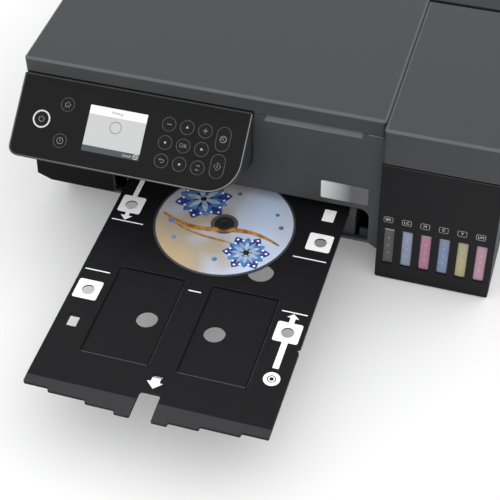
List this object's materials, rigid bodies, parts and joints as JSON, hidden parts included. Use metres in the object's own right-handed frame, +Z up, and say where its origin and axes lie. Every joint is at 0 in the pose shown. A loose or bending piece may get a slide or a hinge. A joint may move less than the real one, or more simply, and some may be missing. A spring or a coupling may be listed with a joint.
{
  "type": "disc label printer",
  "caption": "Ink-tank photo printer with a disc tray run out of its front slot, a tilting control panel and a block of ink tanks at the side.",
  "frame": {"origin": "on the desk, under the middle of the whole printer with its disc tray run out as at rest", "axes": "+Z up, -Y out of the printer's front, +X to the right as the user faces the printer"},
  "size_m": [0.4104, 0.6066, 0.1665],
  "materials": {
    "badge_silver": "silver lacquer",
    "board_green": "solder mask",
    "cap_bk": "soft cap",
    "cap_c": "soft cap",
    "cap_lc": "soft cap",
    "cap_lm": "soft cap",
    "cap_m": "soft cap",
    "cap_y": "soft cap",
    "case_grey": "fine-textured dark grey moulding",
    "cover_grey": "fine-textured grey moulding",
    "disc_print": "printed disc face",
    "front_grey": "fine-textured dark grey moulding",
    "hub_black": "black moulding",
    "key_black": "semi-gloss black",
    "mechanism_black": "black moulding",
    "mechanism_white": "off-white moulding",
    "panel_black": "semi-gloss black sheet",
    "rubber": "matt rubber",
    "screen": "lit display under glass",
    "steel": "bright steel",
    "supply_grey": "plated sheet case",
    "tank_bk": "translucent tank of ink",
    "tank_black": "satin black moulding",
    "tank_c": "translucent tank of ink",
    "tank_lc": "translucent tank of ink",
    "tank_lm": "translucent tank of ink",
    "tank_m": "translucent tank of ink",
    "tank_y": "translucent tank of ink",
    "tray_black": "fine-textured black moulding"
  },
  "bodies": {
    "frame": {"base_case": "case_grey", "main_case": "case_grey", "front_cover": "front_grey", "badge_plate": "badge_silver", "hinge_pins": "steel", "rubber_feet": "rubber", "case_screws": "steel", "tank_housing": "case_grey", "tank_front": "tank_black", "ink_tank_black": "tank_bk", "ink_tank_light_cyan": "tank_lc", "ink_tank_magenta": "tank_m", "ink_tank_cyan": "tank_c", "ink_tank_yellow": "tank_y", "ink_tank_light_magenta": "tank_lm", "tray_guides": "mechanism_black", "platen": "mechanism_black", "guide_rod": "steel", "carriage_belt": "rubber", "carriage_motor": "steel", "main_board": "board_green", "power_unit": "supply_grey", "power_inlet": "mechanism_black"},
    "printer_cover": {"printer_cover": "cover_grey"},
    "feeder_cover": {"feeder_cover": "cover_grey"},
    "tank_lid": {"tank_lid": "cover_grey"},
    "control_panel": {"panel_housing": "case_grey", "panel_face": "panel_black", "panel_screen": "screen"},
    "output_tray": {"output_tray": "tray_black"},
    "disc_tray": {"disc_tray": "tray_black", "disc_hub": "hub_black"},
    "label_disc": {"label_disc": "disc_print"},
    "carriage": {"carriage": "mechanism_black", "print_head": "mechanism_white"},
    "motor_pulley": {"motor_pulley": "mechanism_white"},
    "idler_pulley": {"idler_pulley": "mechanism_white"},
    "feed_roller": {"feed_roller": "steel"},
    "exit_roller": {"exit_roller": "steel"},
    "paper_guide": {"paper_guide": "mechanism_black"},
    "filler_cap_black": {"filler_cap_black": "cap_bk"},
    "filler_cap_light_cyan": {"filler_cap_light_cyan": "cap_lc"},
    "filler_cap_magenta": {"filler_cap_magenta": "cap_m"},
    "filler_cap_cyan": {"filler_cap_cyan": "cap_c"},
    "filler_cap_yellow": {"filler_cap_yellow": "cap_y"},
    "filler_cap_light_magenta": {"filler_cap_light_magenta": "cap_lm"},
    "power_key": {"power_key": "key_black"},
    "home_key": {"home_key": "key_black"},
    "help_key": {"help_key": "key_black"},
    "minus_key": {"minus_key": "key_black"},
    "up_key": {"up_key": "key_black"},
    "plus_key": {"plus_key": "key_black"},
    "left_key": {"left_key": "key_black"},
    "ok_key": {"ok_key": "key_black"},
    "right_key": {"right_key": "key_black"},
    "back_key": {"back_key": "key_black"},
    "down_key": {"down_key": "key_black"},
    "paper_key": {"paper_key": "key_black"},
    "stop_key": {"stop_key": "key_black"},
    "start_key": {"start_key": "key_black"}
  },
  "joints": [
    {"name": "printer_cover_hinge", "type": "hinge", "parent": "frame", "child": "printer_cover", "pos_m": [0, 0.1912, 0.161], "axis": [-1, 0, 0], "range_deg": [0, 45]},
    {"name": "feeder_cover_hinge", "type": "hinge", "parent": "frame", "child": "feeder_cover", "pos_m": [0, 0.2983, 0.161], "axis": [-1, 0, 0], "range_deg": [0, 70]},
    {"name": "tank_lid_hinge", "type": "hinge", "parent": "frame", "child": "tank_lid", "pos_m": [0.15635, 0.1053, 0.161], "axis": [-1, 0, 0], "range_deg": [0, 70]},
    {"name": "panel_tilt", "type": "hinge", "parent": "frame", "child": "control_panel", "pos_m": [-0.0984, -0.05054, 0.14405], "axis": [1, 0, 0], "range_deg": [0, 51]},
    {"name": "power_key_press", "type": "slide", "parent": "control_panel", "child": "power_key", "axis": [0, 0.6266, -0.7793], "range_m": [0, 0.0006], "stiffness_N_per_m": 400, "springref_m": -0.0005},
    {"name": "home_key_press", "type": "slide", "parent": "control_panel", "child": "home_key", "axis": [0, 0.6266, -0.7793], "range_m": [0, 0.0006], "stiffness_N_per_m": 400, "springref_m": -0.0005},
    {"name": "help_key_press", "type": "slide", "parent": "control_panel", "child": "help_key", "axis": [0, 0.6266, -0.7793], "range_m": [0, 0.0006], "stiffness_N_per_m": 400, "springref_m": -0.0005},
    {"name": "minus_key_press", "type": "slide", "parent": "control_panel", "child": "minus_key", "axis": [0, 0.6266, -0.7793], "range_m": [0, 0.0006], "stiffness_N_per_m": 400, "springref_m": -0.0005},
    {"name": "up_key_press", "type": "slide", "parent": "control_panel", "child": "up_key", "axis": [0, 0.6266, -0.7793], "range_m": [0, 0.0006], "stiffness_N_per_m": 400, "springref_m": -0.0005},
    {"name": "plus_key_press", "type": "slide", "parent": "control_panel", "child": "plus_key", "axis": [0, 0.6266, -0.7793], "range_m": [0, 0.0006], "stiffness_N_per_m": 400, "springref_m": -0.0005},
    {"name": "left_key_press", "type": "slide", "parent": "control_panel", "child": "left_key", "axis": [0, 0.6266, -0.7793], "range_m": [0, 0.0006], "stiffness_N_per_m": 400, "springref_m": -0.0005},
    {"name": "ok_key_press", "type": "slide", "parent": "control_panel", "child": "ok_key", "axis": [0, 0.6266, -0.7793], "range_m": [0, 0.0006], "stiffness_N_per_m": 400, "springref_m": -0.0005},
    {"name": "right_key_press", "type": "slide", "parent": "control_panel", "child": "right_key", "axis": [0, 0.6266, -0.7793], "range_m": [0, 0.0006], "stiffness_N_per_m": 400, "springref_m": -0.0005},
    {"name": "back_key_press", "type": "slide", "parent": "control_panel", "child": "back_key", "axis": [0, 0.6266, -0.7793], "range_m": [0, 0.0006], "stiffness_N_per_m": 400, "springref_m": -0.0005},
    {"name": "down_key_press", "type": "slide", "parent": "control_panel", "child": "down_key", "axis": [0, 0.6266, -0.7793], "range_m": [0, 0.0006], "stiffness_N_per_m": 400, "springref_m": -0.0005},
    {"name": "paper_key_press", "type": "slide", "parent": "control_panel", "child": "paper_key", "axis": [0, 0.6266, -0.7793], "range_m": [0, 0.0006], "stiffness_N_per_m": 400, "springref_m": -0.0005},
    {"name": "stop_key_press", "type": "slide", "parent": "control_panel", "child": "stop_key", "axis": [0, 0.6266, -0.7793], "range_m": [0, 0.0006], "stiffness_N_per_m": 400, "springref_m": -0.0005},
    {"name": "start_key_press", "type": "slide", "parent": "control_panel", "child": "start_key", "axis": [0, 0.6266, -0.7793], "range_m": [0, 0.0006], "stiffness_N_per_m": 400, "springref_m": -0.0005},
    {"name": "output_tray_slide", "type": "slide", "parent": "frame", "child": "output_tray", "axis": [0, -1, 0], "range_m": [0, 0.15]},
    {"name": "disc_tray_slide", "type": "slide", "parent": "frame", "child": "disc_tray", "axis": [0, 1, 0], "range_m": [-0.1, 0.21]},
    {"name": "label_disc_lift", "type": "slide", "parent": "disc_tray", "child": "label_disc", "axis": [0, 0, 1], "range_m": [0, 0.01]},
    {"name": "filler_cap_black_lift", "type": "slide", "parent": "frame", "child": "filler_cap_black", "axis": [0, 0, 1], "range_m": [0, 0.02]},
    {"name": "filler_cap_light_cyan_lift", "type": "slide", "parent": "frame", "child": "filler_cap_light_cyan", "axis": [0, 0, 1], "range_m": [0, 0.02]},
    {"name": "filler_cap_magenta_lift", "type": "slide", "parent": "frame", "child": "filler_cap_magenta", "axis": [0, 0, 1], "range_m": [0, 0.02]},
    {"name": "filler_cap_cyan_lift", "type": "slide", "parent": "frame", "child": "filler_cap_cyan", "axis": [0, 0, 1], "range_m": [0, 0.02]},
    {"name": "filler_cap_yellow_lift", "type": "slide", "parent": "frame", "child": "filler_cap_yellow", "axis": [0, 0, 1], "range_m": [0, 0.02]},
    {"name": "filler_cap_light_magenta_lift", "type": "slide", "parent": "frame", "child": "filler_cap_light_magenta", "axis": [0, 0, 1], "range_m": [0, 0.02]},
    {"name": "carriage_slide", "type": "slide", "parent": "frame", "child": "carriage", "axis": [-1, 0, 0], "range_m": [0, 0.2]},
    {"name": "motor_pulley_spin", "type": "hinge", "parent": "frame", "child": "motor_pulley", "pos_m": [-0.1722, 0.122, 0.09], "axis": [0, 0, 1], "continuous": true},
    {"name": "idler_pulley_spin", "type": "hinge", "parent": "frame", "child": "idler_pulley", "pos_m": [0.0921, 0.122, 0.09], "axis": [0, 0, 1], "continuous": true},
    {"name": "feed_roller_spin", "type": "hinge", "parent": "frame", "child": "feed_roller", "pos_m": [-0.0172, 0.092, 0.0458], "axis": [1, 0, 0], "continuous": true},
    {"name": "exit_roller_spin", "type": "hinge", "parent": "frame", "child": "exit_roller", "pos_m": [-0.0172, 0.028, 0.0478], "axis": [1, 0, 0], "continuous": true},
    {"name": "paper_guide_slide", "type": "slide", "parent": "frame", "child": "paper_guide", "axis": [1, 0, 0], "range_m": [-0.03, 0.12]}
  ],
  "couplings": [
    {"joint": "motor_pulley_spin", "follows": "carriage_slide", "rad_per_m": -131.58},
    {"joint": "idler_pulley_spin", "follows": "carriage_slide", "rad_per_m": -131.58},
    {"joint": "exit_roller_spin", "follows": "feed_roller_spin", "ratio": 1.4}
  ]
}
